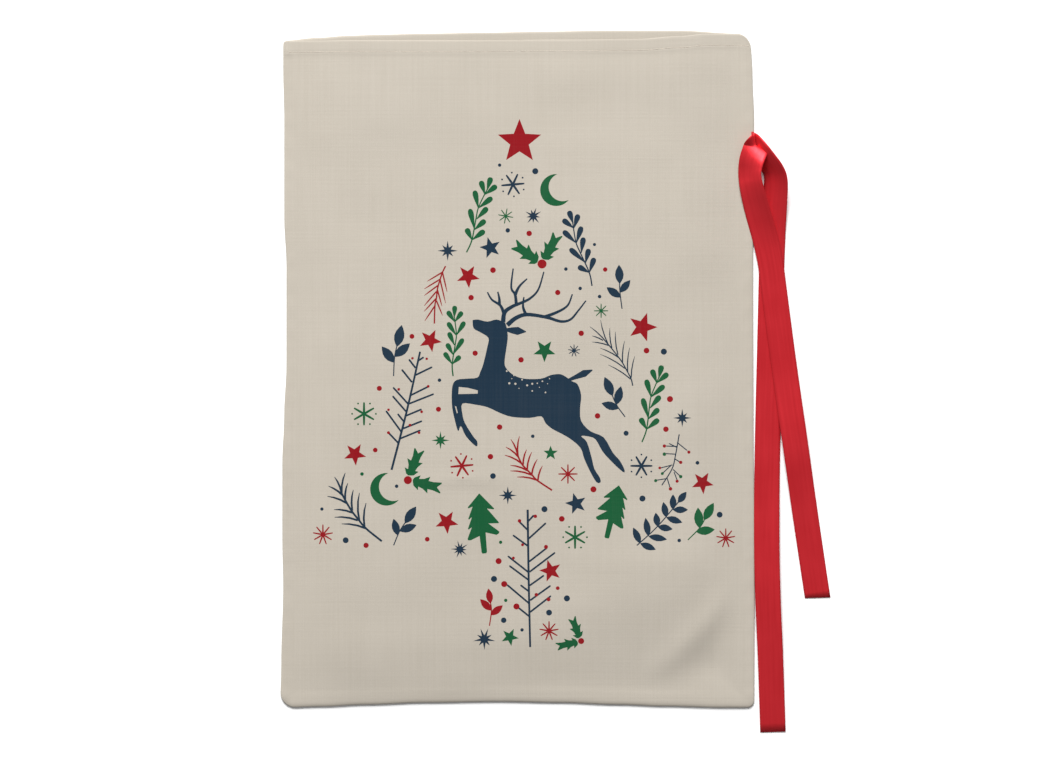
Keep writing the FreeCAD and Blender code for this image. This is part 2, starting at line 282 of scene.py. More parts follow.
# Control points of the two halves, from the seam to the cut end: x, y, z, then which way the ribbon's right
# edge points from its middle, as an angle from +X in degrees, and how far that edge is tipped up.
LONG_ROUTE = (
    (228.6, 220, 1.1, 90, 0),
    (231.4, 219.9, 3.6, 89, 24),
    (237.5, 212, 8, 66, 42),
    (242.4, 204.2, 9, 40, 43),
    (249, 196, 9, 16, 41),
    (252.4, 187, 7.4, 2, 30),
    (251.5, 171, 4.6, 0, 16),
    (250.2, 147, 1.8, 0, 4),
    (248.9, 118, 0.7, 0, 0),
    (246.9, 30, 0.35, -1, 0),
    (244.2, -75, 1.2, -1, 0),
    (243.2, -165, 3.2, 0, 1.5),
    (244.2, -225, 5.2, 1, 2),
    (247.6, -290, 2.7, 2, -1),
    (249.8, -357, 0.3, 2, 0),
)
SHORT_ROUTE = (
    (228.6, 220, 1.4, -90, 0),
    (230.6, 221.2, 4, -74, 14),
    (233.4, 219.4, 9, -52, 16),
    (230.6, 212.6, 12, -33, 12),
    (227.2, 204, 12.8, -16, 20),
    (225.4, 191.5, 10.8, -2, 34),
    (227.4, 178, 11.6, 11, 28),
    (234.6, 152.5, 6.2, 17, 16),
    (242.5, 127, 2.6, 13, 4),
    (247.8, 102, 2, 5, 0),
    (251.2, 74, 1.6, 6, 0),
    (262.6, -12, 1.8, 8, 1.5),
    (271.5, -75, 5.6, 8, 2),
    (279.5, -130, 1.8, 8, -2),
    (287, -180, 0.5, 8, 0),
    (293.8, -225, 0.3, 8, 0),
)


def spline_line(name, places):
    """Points along the smooth NURBS line that has these control points, in millimetres."""
    curve = bpy.data.curves.new(name, "CURVE")
    curve.dimensions = "3D"
    curve.resolution_u = SPLINE_STEPS
    spline = curve.splines.new("NURBS")
    spline.points.add(len(places) - 1)
    for point, place in zip(spline.points, places):
        point.co = (*metres(place), 1)
    spline.order_u = 3
    spline.use_endpoint_u = True
    holder = bpy.data.objects.new(name, curve)
    mesh = bpy.data.meshes.new_from_object(holder)
    line = [vertex.co / MM for vertex in mesh.vertices]
    bpy.data.objects.remove(holder)
    bpy.data.meshes.remove(mesh)
    bpy.data.curves.remove(curve)
    return line


def edge_place(x, y, z, turn, tip):
    """Where the ribbon's right edge is at a control point."""
    level, rise = polar(0, 0, RIBBON_WIDTH / 2, tip)
    return (*polar(x, y, level, turn), z + rise)


def follow_ribbon(piece, texture):
    """Gives a ribbon piece the layer that its satin follows; texture maps a corner's vertex to a place."""
    layer = piece.data.uv_layers.new(name="ribbon")
    for loop in piece.data.loops:
        layer.data[loop.index].uv = texture(loop.vertex_index)


def ribbon_half(name, route, end_slant=0.0):
    """One loose half of the ribbon as a thin closed band, and the line down its middle."""
    middle = spline_line(name + "_middle", [row[:3] for row in route])
    edge = spline_line(name + "_edge", [edge_place(*row) for row in route])
    points, faces, texture = [], [], []
    travelled = 0.0
    last = len(middle) - 1
    for index, place in enumerate(middle):
        before, after = middle[max(index - 1, 0)], middle[min(index + 1, last)]
        heading = (after - before).normalized()
        travelled += (place - before).length
        across = edge[index] - place
        across = (across - heading * across.dot(heading)).normalized()
        normal = across.cross(heading).normalized()
        for side in (1, -1):
            for step in range(ACROSS_STEPS + 1):
                share = 2 * step / ACROSS_STEPS - 1
                wave = RIBBON_WAVE * math.sin(travelled / RIBBON_WAVE_LENGTH + share) * share * share
                slant = heading * (end_slant * share if index == last else 0)
                spot = place + across * (share * RIBBON_WIDTH / 2) + slant
                spot += normal * (wave + side * RIBBON_THICK / 2)
                spot.z = max(spot.z, FLOOR_GAP if side * normal.z < 0 else FLOOR_GAP + RIBBON_THICK)
                points.append(spot)
                texture.append((share * RIBBON_WIDTH / 2 * MM, travelled * MM))
    row = 2 * (ACROSS_STEPS + 1)
    ring = list(range(ACROSS_STEPS + 1)) + list(range(row - 1, ACROSS_STEPS, -1))
    for index in range(last):
        bridge(faces, ring, index * row, (index + 1) * row)
    faces.append(tuple(reversed(ring)))
    faces.append(tuple(last * row + spot for spot in ring))
    band = mesh_piece(name, points, faces, [satin])
    follow_ribbon(band, lambda vertex: texture[vertex])
    return band, [metres(place) for place in middle]


def declare_half(band, node):
    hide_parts(node)
    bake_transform(band)


long_half, long_line = ribbon_half("ribbon_long_half", LONG_ROUTE)
short_half, short_line = ribbon_half("ribbon_short_half", SHORT_ROUTE, SHORT_END_SLANT)


# ------------------------------------------------------------------ print

# Every printed shape is a flat outline in the cloth's own plane, seen from the front. A shape is a colour
# and its points; later shapes lie over earlier ones.

def part_way(here, there, share):
    return tuple(a + (b - a) * share for a, b in zip(here, there))


def placed(base, tip, along, aside):
    """A point given as shares of the way from base to tip and to its right."""
    run, rise = tip[0] - base[0], tip[1] - base[1]
    return (base[0] + run * along + rise * aside, base[1] + rise * along - run * aside)


def smooth_line(points, per_span=5):
    """Points along the Catmull-Rom line through a few given points."""
    line = []
    for index in range(len(points) - 1):
        spans = [points[min(max(index + shift, 0), len(points) - 1)] for shift in (-1, 0, 1, 2)]
        for step in range(per_span):
            t = step / per_span
            line.append(tuple(
                0.5 * (2 * b + (c - a) * t + (2 * a - 5 * b + 4 * c - d) * t * t
                       + (3 * b - a - 3 * c + d) * t ** 3)
                for a, b, c, d in zip(*spans)))
    line.append(tuple(points[-1]))
    return line


def brush(points, widths):
    """The outline of a stroke along points, with a half-width at each."""
    left, right = [], []
    for index, (x, y) in enumerate(points):
        ahead, behind = points[min(index + 1, len(points) - 1)], points[max(index - 1, 0)]
        run, rise = ahead[0] - behind[0], ahead[1] - behind[1]
        share = widths[index] / math.hypot(run, rise)
        left.append((x - rise * share, y + run * share))
        right.append((x + rise * share, y - run * share))
    return left + right[::-1]


def stroke(colour, points, wide_start, wide_end):
    """A curved stroke that changes evenly from one width to another."""
    line = smooth_line(points)
    last = len(line) - 1
    widths = [(wide_start + (wide_end - wide_start) * index / last) / 2 for index in range(last + 1)]
    return [(colour, brush(line, widths))]


# Profiles: how far along a blade, and its width there as a share of its greatest. HOLLY is an outline
# instead: how far along, and how far aside.
PADDLE = ((0, 0.14), (0.2, 0.36), (0.45, 0.72), (0.65, 0.94), (0.8, 1), (0.92, 0.82), (0.98, 0.5), (1, 0.2))
LEAF = ((0, 0.05), (0.12, 0.46), (0.28, 0.84), (0.48, 1), (0.68, 0.84), (0.87, 0.42), (1, 0.03))
NEEDLE = ((0, 1), (0.35, 1), (0.7, 0.85), (1, 0.3))
TWIG = ((0, 1), (0.95, 1), (1, 0.6))
RAY = ((0, 0.8), (0.3, 1), (0.9, 0.75), (1, 0.5))
STAG_TAIL = ((0, 0.3), (0.35, 0.6), (0.7, 1), (1, 0.15))
STAG_EAR = ((0, 0.35), (0.3, 0.75), (0.6, 1), (1, 0.1))
HOLLY = ((0.02, 0.05), (0.06, 0.14), (0.24, 0.26), (0.22, 0.13), (0.38, 0.17), (0.57, 0.29), (0.54, 0.14),
         (0.72, 0.14), (0.98, 0.19), (0.99, 0.15))
HOLLY_NOTCH = 0.86
THIN_STEM = 1.1


def blade(colour, base, tip, width, profile, bend=0.0):
    """A leaf, needle or twig from its base to its tip; bend moves its middle to its left."""
    line = [placed(base, tip, share, -bend * 4 * share * (1 - share)) for share, _ in profile]
    return [(colour, brush(line, [width / 2 * part for _, part in profile]))]


def blades(colour, rows, width, profile, bend=0.0):
    """Blades that are each given by the x and y of its base and its tip."""
    shapes = []
    for *base, x, y in rows:
        shapes += blade(colour, base, (x, y), width, profile, bend)
    return shapes


SMALL_DOT = 2.2
DOT_SIDES, SMALL_DOT_SIDES = 16, 10


def dot(colour, x, y, radius):
    sides = SMALL_DOT_SIDES if radius < SMALL_DOT else DOT_SIDES
    return [(colour, [polar(x, y, radius, 360 * side / sides) for side in range(sides)])]


def scattered(colour, spots):
    shapes = []
    for spot in spots:
        shapes += dot(colour, *spot)
    return shapes


def star(colour, x, y, radius, turn=90.0, points=5, inner=0.42, short=1.0):
    """A pointed star. Every second point is shorter where short is under one."""
    outline = []
    for index in range(2 * points):
        reach = inner if index % 2 else (short if index % 4 else 1.0)
        outline.append(polar(x, y, radius * reach, turn + 180 * index / points))
    return [(colour, outline)]


def burst(colour, x, y, radius, points=8, turn=90.0):
    return star(colour, x, y, radius, turn, points, 0.34, 0.76)


def rays(colour, x, y, radius, arms, width, turn=90.0):
    """Thin arms from one centre, each thickest a third of the way out."""
    shapes = []
    for arm in range(arms):
        shapes += blade(colour, (x, y), polar(x, y, radius, turn + 360 * arm / arms), width, RAY)
    return shapes


FLAKE_ARM_REACH, FLAKE_ARM_WIDTH = 1.03, 2.3
FLAKE_DOT_REACH, FLAKE_DOT_RADIUS = 1.06, 0.9


def snowflake(colour, x, y, radius, turn=90.0):
    """Six arms, and a small dot between each two."""
    dots = [(*polar(x, y, FLAKE_DOT_REACH * radius, turn + 30 + 60 * arm), FLAKE_DOT_RADIUS)
            for arm in range(6)]
    return rays(colour, x, y, radius * FLAKE_ARM_REACH, 6, FLAKE_ARM_WIDTH, turn) + scattered(colour, dots)


# A moon's inner arc: its radius and how far it is shifted, as shares of the outer radius. HORN is how far
# the horns' tips are from the opening, in degrees round the outer arc.
MOON_INNER, MOON_SHIFT, HORN = 0.88, 0.45, 61.6
OUTER_STEPS, INNER_STEPS = 32, 26


def crescent(colour, x, y, radius, opening):
    """A moon whose horns point around the opening direction."""
    tip_x, tip_y = polar(-MOON_SHIFT, 0, 1, HORN)
    inner_horn = math.degrees(math.atan2(tip_y, tip_x))
    centre = polar(x, y, radius * MOON_SHIFT, opening)
    outer = [polar(x, y, radius, opening + HORN + (360 - 2 * HORN) * step / OUTER_STEPS)
             for step in range(OUTER_STEPS + 1)]
    inner = [polar(*centre, radius * MOON_INNER,
                   opening - inner_horn - (360 - 2 * inner_horn) * step / INNER_STEPS)
             for step in range(1, INNER_STEPS)]
    return [(colour, outer + inner)]


# A sprig's stem, and its leaves: where each leaves the stem, and where its tip is. All are along the stem
# and to its right.
SPRIG_STEM = ((0, -0.02), (0.17, 0), (0.45, -0.03), (0.6, -0.04), (0.85, 0))
SPRIG_STEM_WIDTH = 1.4
SPRIG_LEAF_WIDTH = 0.072
SPRIG_LEAVES = (
    (0.17, 0, 0.29, -0.11), (0.17, 0, 0.33, 0.12), (0.31, -0.01, 0.54, -0.14), (0.3, -0.01, 0.46, 0.09),
    (0.44, -0.02, 0.62, 0.07), (0.58, -0.04, 0.78, -0.15), (0.58, -0.04, 0.76, 0.09),
    (0.77, -0.01, 0.92, -0.11), (0.77, -0.01, 0.92, 0.1), (0.83, 0, 1, 0),
)


def sprig(colour, base, tip, mirrored=False):
    side = -1 if mirrored else 1
    width = math.dist(base, tip) * SPRIG_LEAF_WIDTH
    stem = [placed(base, tip, along, side * aside) for along, aside in SPRIG_STEM]
    shapes = stroke(colour, stem, SPRIG_STEM_WIDTH, THIN_STEM)
    for along, aside, tip_along, tip_aside in SPRIG_LEAVES:
        shapes += blade(colour, placed(base, tip, along, side * aside),
                        placed(base, tip, tip_along, side * tip_aside), width, PADDLE)
    return shapes


TRIO_LEAF_WIDTH = 0.46
TRIO_STEM_END, TRIO_TOP_ROOT, TRIO_LOW_ROOT = 0.45, 0.32, 0.30


def trio(colour, base, joint, top, first, second):
    """A small stem with a leaf at its top and one to each side; the second starts a little lower."""
    shapes = stroke(colour, [base, joint, part_way(joint, top, TRIO_STEM_END)], THIN_STEM, THIN_STEM)
    roots = (part_way(joint, top, TRIO_TOP_ROOT), joint, part_way(joint, base, TRIO_LOW_ROOT))
    for root, tip in zip(roots, (top, first, second)):
        shapes += blade(colour, root, tip, math.dist(root, tip) * TRIO_LEAF_WIDTH, LEAF)
    return shapes


def fir_twig(colour, width, stem, left, right, bow):
    """A twig with bowed needles to its left and right."""
    needles = blades(colour, left, width, NEEDLE, -bow) + blades(colour, right, width, NEEDLE, bow)
    return stroke(colour, stem, width, width) + needles


FIR_OUTLINE = (
    (0, 0), (0.25, 0.27), (0.24, 0.285), (0.13, 0.262), (0.33, 0.505), (0.325, 0.52), (0.155, 0.51),
    (0.34, 0.66), (0.33, 0.69), (0.29, 0.71), (0.11, 0.655), (0.135, 0.98), (0.12, 1), (0.06, 1),
    (0.045, 0.98), (0.01, 0.705), (-0.14, 0.765), (-0.18, 0.76), (-0.19, 0.735), (-0.12, 0.55),
    (-0.17, 0.585), (-0.185, 0.57), (-0.12, 0.385), (-0.17, 0.42), (-0.18, 0.405), (-0.11, 0.21),
    (-0.18, 0.235), (-0.19, 0.215),
)
FIR_LEAN = 0.09


def fir(colour, top, foot, mirrored=False):
    """A small fir tree, leaning a little; its outline is given to the right and down."""
    side = -1 if mirrored else 1
    outline = [placed(top, foot, down, -side * (aside - FIR_LEAN * down)) for aside, down in FIR_OUTLINE]
    return [(colour, outline)]


def holly(x, y, radius, first, second):
    """Two prickly leaves that meet at a berry."""
    shapes = []
    for tip in (first, second):
        base = part_way((x, y), tip, 0.12)
        left = [placed(base, tip, along, -aside) for along, aside in HOLLY]
        right = [placed(base, tip, along + 0.03, aside * 0.95) for along, aside in HOLLY]
        shapes.append(("green", left + [placed(base, tip, HOLLY_NOTCH, 0)] + right[::-1]))
    return shapes + dot("red", x, y, radius)


def branch(stem, stem_widths, rows, width, profile, red=(), green=()):
    """A navy stem with twigs or leaves along it, and berries."""
    shapes = stroke("navy", stem, *stem_widths) + blades("navy", rows, width, profile)
    return shapes + scattered("red", red) + scattered("green", green)


# A plain leaping stag of this script's own drawing: body, legs, tail, ear and antlers.
STAG_BODY = (
    (-45.5, 48), (-44.5, 40), (-38, 36), (-30, 30.5), (-31, 22), (-35, 5), (-38, -3), (-41, -8.5),
    (-52, -9.5), (-61, -10.7), (-65, -15.5), (-66, -26), (-65.5, -38), (-63, -50), (-59.7, -61), (-57, -56),
    (-52, -66), (-42, -76), (-41, -71), (-45, -66), (-53, -53), (-55.5, -44), (-55.5, -34), (-43, -35),
    (-31, -37.5), (-19, -43), (-7, -47), (10.5, -48), (22, -46.5), (26, -53), (33, -59), (48, -67),
    (60, -77), (64, -88), (70, -101), (76, -111), (80, -111), (79, -106), (74, -98), (71, -86),
    (66.5, -71.5), (61, -66), (67, -66), (75, -69), (82, -81), (92, -92), (102, -101), (103.5, -99),
    (99, -90), (92, -82), (83, -67), (70, -61), (61, -51), (60, -38), (61, -26), (57.5, -15), (52, -12),
    (45, -7), (39.5, -5), (31, -6), (21.5, -9.5), (5, -9.5), (-6, -5.5), (-13, 1.5), (-14, 8.5),
    (-12, 22.5), (-11, 33), (-13, 44), (-16, 46.5), (-22.5, 48.5), (-31, 46.5), (-40, 48.5),
)
ANTLERS = (
    ((-15.6, 46), (-14, 55.5), (-7, 61), (0, 64), (10.6, 69), (19, 78), (24.4, 95.4)),
    ((-11.5, 43), (-3, 50), (8, 53.4), (27, 50.7), (41, 46.6), (50.6, 48.6), (58, 57), (65.7, 67)),
    ((-15, 55), (-18.4, 62.4), (-26.6, 68), (-31, 75.4)),
    ((-19.2, 63), (-19.3, 69), (-20.8, 75.8)),
    ((-2.5, 62), (-3.8, 73), (-7.6, 80), (-5.7, 98.6)),
    ((-3.6, 73), (0.3, 81), (8, 88.5)),
    ((25, 51), (38, 56), (47.8, 62.4), (52.3, 73.4)),
    ((7, 53), (4, 61), (4.8, 70.6)),
)
STAG_SPECKLES = (
    (-12, -2, 0.9), (-9.5, -14, 1.1), (-3.5, -14.5, 1.1), (-5, -6.5, 0.6), (3, -10.5, 0.8), (8, -16, 1),
    (13, -14.5, 1), (18, -14, 0.7), (23, -12, 0.8), (13, -21.5, 0.8), (26, -23, 0.8), (30, -9.5, 0.6),
    (0, -19, 0.5), (20, -18, 0.5), (-7, -9.5, 0.5), (28, -14.5, 0.5),
)
STAG_CHEST_PATCH = ((-59, -17.6), (-50, -18.5), (-40.4, -21), (-40.5, -24.2), (-59.5, -24.6))
STAG_LEG_MARK = ((-63, -36), (-61.5, -37), (-60, -43), (-61, -43.5))
BEAM_WIDTH, TINE_WIDTH, TINE_END = 4.6, 3.4, 1.3


def stag():
    shapes = [("navy", smooth_line([*STAG_BODY, STAG_BODY[0]], 3)[:-1])]
    shapes += blade("navy", (46, -12), (72, -1), 7, STAG_TAIL)
    shapes += blade("navy", (-13, 38.5), (7, 36.5), 8, STAG_EAR)
    for index, line in enumerate(ANTLERS):
        shapes += stroke("navy", line, BEAM_WIDTH if index < 2 else TINE_WIDTH, TINE_END)
    shapes += [("bare", STAG_CHEST_PATCH), ("bare", STAG_LEG_MARK)]
    return shapes + scattered("bare", STAG_SPECKLES)


# The print: a tall tree made of small winter motifs. Each row is a motif and what its function takes.
# A blade's row is the x and y of its base and its tip, and a dot's is its x, its y and its radius.
MOTIFS = (
    (star, "red", 0.5, 223, 22.3, 90, 5, 0.43),
    (snowflake, "navy", -6, 181, 11, 125),
    (crescent, "green", 36.5, 175.5, 15.7, 24),
    (sprig, "green", (-50, 114), (-27.5, 188)),
    (rays, "green", -13, 150, 7.5, 8, 1.2, 80),
    (burst, "navy", 14, 150, 9, 9, 70),
    (sprig, "navy", (73, 82), (49, 155)),
    (burst, "navy", -70, 116, 10),
    (star, "navy", -28, 119, 10.8, 105),
    (holly, 22.6, 103, 4.5, (-5, 122.5), (38, 132)),
    (star, "red", -50, 91, 11.8, 275),
    (fir_twig, "red", 1.4,
     ((-72, 101), (-75, 95), (-77.5, 87.5), (-80, 78.5), (-81, 69.5), (-82.5, 62), (-83, 44.5)),
     ((-75, 95, -90, 86), (-77.5, 88, -93, 78.5), (-79.5, 82, -93, 72), (-81, 76, -93, 62),
      (-81.5, 69, -93, 56.5), (-82.5, 62, -92.5, 47)),
     ((-75, 94.5, -70.5, 75.5), (-77.5, 88, -72, 64.5), (-80, 77.5, -75.5, 61.5), (-81, 67, -75, 52.5)), 0),
    (trio, "navy", (101, 59), (99, 75), (98, 102), (109, 87), (86, 80)),
    (rays, "green", 80.5, 57, 7, 8, 1.2),
    (star, "red", 121, 41, 14.8, 0),
    (fir_twig, "navy", 1.2,
     ((111.5, -16.5), (110, -10), (106.5, -3), (101.5, 6), (96.5, 13), (90.5, 20.5), (87.5, 24)),
     ((87.5, 24, 69.5, 41.5), (82.5, 28, 71.5, 32.5), (88, 23, 71.5, 26.5), (98, 11, 79.5, 20.5),
      (104, 0.5, 79.5, 14.5), (109.5, -10, 87.5, 4)),
     ((87.5, 24, 80, 48), (91, 20.5, 89, 40), (97, 14, 94.5, 36.5), (101.5, 6, 103.5, 27.5),
      (106.5, -3, 108.5, 21), (110, -8.5, 113.5, 12.5)), 0.04),
    (star, "green", 25, 18, 11.4, 270),
    (rays, "navy", 54, 18, 6, 9, 1.1),
    (sprig, "green", (-66, -7), (-63, 62), True),
    (star, "red", -87, 28, 11.6, 280),
    (trio, "navy", (-123, -7), (-122, 12), (-115, 43), (-107, 25), (-134.5, 22)),
    (branch, ((-125, -99), (-110, -41), (-97, 17)), (2.2, 1.9),
     ((-101.5, 1, -108, 9.5), (-105, -13, -115, -0.5), (-109, -34, -123.5, -18), (-111, -41.5, -124, -26.5),
      (-113, -51.5, -119, -44), (-115.5, -61.5, -130.5, -41), (-118.5, -72.5, -128, -62.5),
      (-99, 8, -93.5, 11.5), (-101.5, -6, -85, 2), (-106.5, -26, -88.5, -17), (-107.5, -34, -83.5, -24.5),
      (-111, -46, -95.5, -39.5), (-115, -59, -95, -51), (-117, -68.5, -96.5, -60)), 1.8, TWIG,
     ((-104.5, 10.5, 1.3), (-90.5, 10, 1.3), (-118, -20, 1.4), (-128, -40, 1.3), (-89, -17, 1.4),
      (-95.5, -42, 1.4), (-107, -55, 1.4), (-128, -62.5, 1.5), (-98, -62.5, 1.4))),
    (snowflake, "green", -152, -44, 11),
    (star, "red", -161, -83.5, 11.4, 275),
    (crescent, "green", -130, -118, 16, 21),
    (holly, -109, -109, 4, (-97.5, -79), (-76.5, -117)),
    (fir_twig, "navy", 2,
     ((-134.5, -169), (-150, -156.5), (-158, -147), (-164, -139.5), (-170, -129.5), (-174, -122)),
     ((-174, -122, -181, -106), (-173, -124, -187, -115), (-168.5, -132, -188, -125),
      (-163.5, -141, -181.5, -138), (-158, -148.5, -181, -145.5), (-150, -156.5, -174, -152)),
     ((-174, -122, -170.5, -102), (-170.5, -128.5, -168, -112), (-163.5, -139, -162.5, -118.5),
      (-156.5, -149, -156.5, -121.5), (-151.5, -155, -150, -131.5)), 0.06),
    (rays, "red", -192.5, -162.6, 10, 9, 1.6),
    (trio, "navy", (-123, -173), (-117, -159), (-101, -135), (-100.5, -153), (-123, -147)),
    (snowflake, "red", -56, -95, 11, 65),
    (burst, "green", -77, -70, 9),
    (burst, "navy", -11, -124, 9),
    (fir, "green", (-39, -122), (-34, -181)),
    (star, "red", -71, -150, 11.9, 275),
    (burst, "navy", -58, -177, 9, 10, 105),
    (trio, "red", (-29, -252), (-27, -237), (-30, -215.5), (-38, -226), (-16, -232)),
    (burst, "navy", -34, -265, 11, 9, 110),
    (star, "green", -9, -263, 9, 280),
    (branch, ((8.5, -138), (9.5, -205), (11, -273)), (2.2, 1.9),
     ((8.5, -158, -0.5, -149), (8.5, -173.5, -6, -163), (10, -200, -11, -183.5), (10, -207.5, -9.5, -193),
      (10, -218.5, 1.5, -212), (10.5, -230.5, -12, -211.5), (11, -243.5, -2, -233),
      (9, -149.5, 14.5, -143.5), (9.5, -166.5, 26.5, -151), (10, -189, 28, -175), (10.5, -199, 35.5, -180),
      (10.5, -212.5, 24.5, -202.5), (11, -227, 31, -212.5), (11, -238.5, 31.5, -222.5)), 1.8, TWIG,
     ((0.5, -149, 1.8), (16, -144.5, 1.8), (3.5, -172.5, 1.5), (26.5, -174.5, 2), (-5.5, -185.5, 1.5),
      (-14.5, -211, 3), (-2.5, -233, 3), (17, -221.5, 1.8), (29, -226, 2))),
    (star, "red", 31, -198, 11.3, 106),
    (snowflake, "green", 55, -165, 11),
    (rays, "red", 29.5, -257, 9.5, 9, 1.6),
    (holly, 61, -267, 3, (52, -244), (37, -272.5)),
    (fir_twig, "red", 1.7, ((32.5, -119), (17.5, -109), (12.5, -103.5), (8, -99), (3, -93.5), (-1, -85.5)),
     ((-1, -85.5, -8, -69), (0, -87, -13, -76.5), (3, -93, -14, -84.5), (8, -99.5, -8.5, -94.5),
      (12.5, -104, -8.5, -100), (17.5, -109, -2, -106)),
     ((-1, -85.5, 0.5, -66), (4, -94, 7.5, -79), (8, -99, 12.5, -81.5), (12.5, -103.5, 18, -88.5),
      (18.5, -109.5, 23, -95)), 0.06),
    (star, "green", 31, -82.5, 7.4),
    (rays, "red", 48, -103, 9.5, 8, 1.6),
    (star, "navy", 56, -132, 10.9, 105),
    (fir, "green", (98, -114), (86, -166), True),
    (snowflake, "navy", 120, -95, 10.5, 60),
    (branch, ((157, -64), (153.5, -84), (150, -98), (140, -114)), (1.1, 1.1),
     ((155.5, -76, 144, -75.5), (155, -77, 147, -73), (154, -83.5, 144, -83), (150.5, -94, 139, -97),
      (149.5, -94, 141, -102), (151, -98.5, 158, -105), (152.5, -88, 159, -92), (145, -106.5, 148, -116),
      (144.5, -107.5, 135, -109), (155, -72, 165, -80), (152, -101, 155, -109)), 1.0, TWIG,
     ((142.5, -75.5, 1.7), (138, -97, 1.4), (158.5, -91.5, 1.7), (155, -110, 1.6), (148.5, -117.5, 1.8),
      (166.5, -81.5, 1.6)),
     ((142.5, -83.5, 1.8), (140.5, -102.5, 1.5), (134, -109.5, 1.6), (158.5, -105.5, 1.7))),
    (star, "red", 180, -111.5, 11.4, 275),
    (branch, ((115.5, -173), (137, -153), (164, -121)), (1.1, 1.1),
     ((119, -171, 112, -155.5), (119, -171, 134, -177), (127, -164, 124, -146), (127, -164, 145, -167),
      (136, -154.5, 134, -141), (136, -154.5, 150.5, -157), (144.5, -145.5, 141.5, -130.5),
      (144.5, -145.5, 160, -150.5), (151, -138, 151, -123), (151, -138, 165.5, -138),
      (156, -131, 164, -120.5)), 6.8, LEAF),
    (trio, "green", (165.5, -167.5), (177, -156), (191, -131.5), (175.5, -136), (192, -157.5)),
    (rays, "red", 203, -166, 9.5, 9, 1.5),
    (sprig, "green", (122, -72), (140, 3.5)),
    (trio, "navy", (104, -47), (95.5, -35), (84, -8), (100, -17), (81, -33.5)),
    (burst, "navy", 160, -48, 9),
    (stag,),
    (scattered, "navy",
     ((16, 194, 3), (-19, 200, 1.7), (-11, 136, 2.2), (74, 122, 1.6), (46, 98, 1.8), (60, 79, 1.8),
      (79, 71, 1.8), (-120, -115, 1.8), (-193.5, -137.5, 1.7), (-170, -168, 2.9), (-25.5, -105, 2.8),
      (-24.5, -206, 3), (-15, -246.5, 2.7), (25, -137.5, 3), (47, -225, 3), (29.5, -239, 2.9),
      (121, -127, 3), (175, -92, 1.9), (197, -143, 2.9), (157, -168, 1.8), (142, 17, 3), (105, -63, 2.5),
      (-78, -11, 1.8), (13.5, -66, 1.8), (3, -256, 1.7))),
    (scattered, "red",
     ((10, 133, 2.7), (84.5, 97.5, 2.2), (-25.5, 97, 2.8), (38, 75, 2.6), (-141, -79.5, 2.3),
      (-137, -19, 2.5), (-150, -173, 2.6), (-28, -86, 2.7), (-90, -167, 2.3), (-20, -188.5, 3),
      (38, -215, 1.9), (42, -147, 2.8), (73, -118, 3), (125, 18, 2.8), (148, -29.5, 3), (144, -59, 2.7),
      (77, -46, 2.7), (-43, 15.5, 2.6), (2, 9, 2.7), (61, 35, 2.7), (-47, 70, 2.7), (-105, 32, 2.4),
      (-79, -39.5, 2.5), (-19, -57, 2.7))),
    (scattered, "green", ((-154, -103, 1.8), (-18, -170, 1.7), (-13, -227, 1.7))),
)


def winter_print():
    shapes = []
    for motif, *facts in MOTIFS:
        shapes += motif(*facts)
    return shapes


# ------------------------------------------------------------------ cloth shape

HALF_WIDTH = 230.0
HALF_HEIGHT = 330.0
CLOTH_THICK = 0.45
HEM_DEPTH = 12.5
STITCH_DEPTH = 11.0
SEAM_ALLOWANCE = 12.0

# How the four edges wander: place along the edge, then where the edge is.
LEFT_EDGE = (
    (-330, -234.7), (-286, -233.7), (-210, -231.8), (-163, -232.7), (-89, -232.7), (-40, -230.8),
    (9, -228.6), (107, -228.6), (156, -230.8), (254, -230.8), (303, -231.8), (330, -231.8),
)
RIGHT_EDGE = (
    (-330, 231.4), (-188, 231.8), (-60, 230.6), (68, 230.3), (127, 230.3), (200, 230.6), (245, 231.2),
    (290, 229.6), (330, 227.6),
)
FOOT_EDGE = (
    (-230, -332.9), (-195, -331.9), (-150, -330), (-92, -328), (-19, -327), (40, -328), (99, -330),
    (143, -331.5), (202, -332.9), (230, -332.9),
)
BACK_MOUTH = (
    (-230, 323), (-195, 326), (-166, 328), (-136, 329), (-92, 330), (-33, 331), (25, 332), (85, 333),
    (158, 333), (217, 330), (230, 329),
)
FRONT_MOUTH = (
    (-230, 322.2), (-166, 322.4), (-69, 322.4), (60, 323), (118, 323.4), (158, 326), (185, 328.6),
    (217, 329), (230, 328.3),
)
# Corner radii: foot left, foot right, mouth right, mouth left.
CORNERS = {(-1, -1): 15.0, (1, -1): 7.0, (1, 1): 13.0, (-1, 1): 4.0}


def smooth_step(value):
    value = min(max(value, 0.0), 1.0)
    return value * value * (3 - 2 * value)


def fading(distance, end, run):
    """One as far as an end, then falling softly to nothing over a run."""
    return 1 - smooth_step((distance - end) / run)


def bell(distance, width):
    return math.exp(-(distance / width) ** 2)


def rough(x, y, wide, tall, seed):
    return noise.noise(Vector((x / wide, y / tall, seed)))


def eased(table, place):
    """The value at a place along a table, passing softly from each entry to the next."""
    if place <= table[0][0]:
        return table[0][1]
    for (start, low), (end, high) in zip(table, table[1:]):
        if place <= end:
            return low + (high - low) * smooth_step((place - start) / (end - start))
    return table[-1][1]


def rounded_corner(across, up):
    """Moves a point of the even rectangle so that the rectangle's corners become round."""
    for (side, end), radius in CORNERS.items():
        a = side * across - (HALF_WIDTH - radius)
        b = end * up - (HALF_HEIGHT - radius)
        if a > 0 and b > 0:
            pull = max(a, b) / math.hypot(a, b)
            return (side * (HALF_WIDTH - radius + a * pull), end * (HALF_HEIGHT - radius + b * pull))
    return across, up


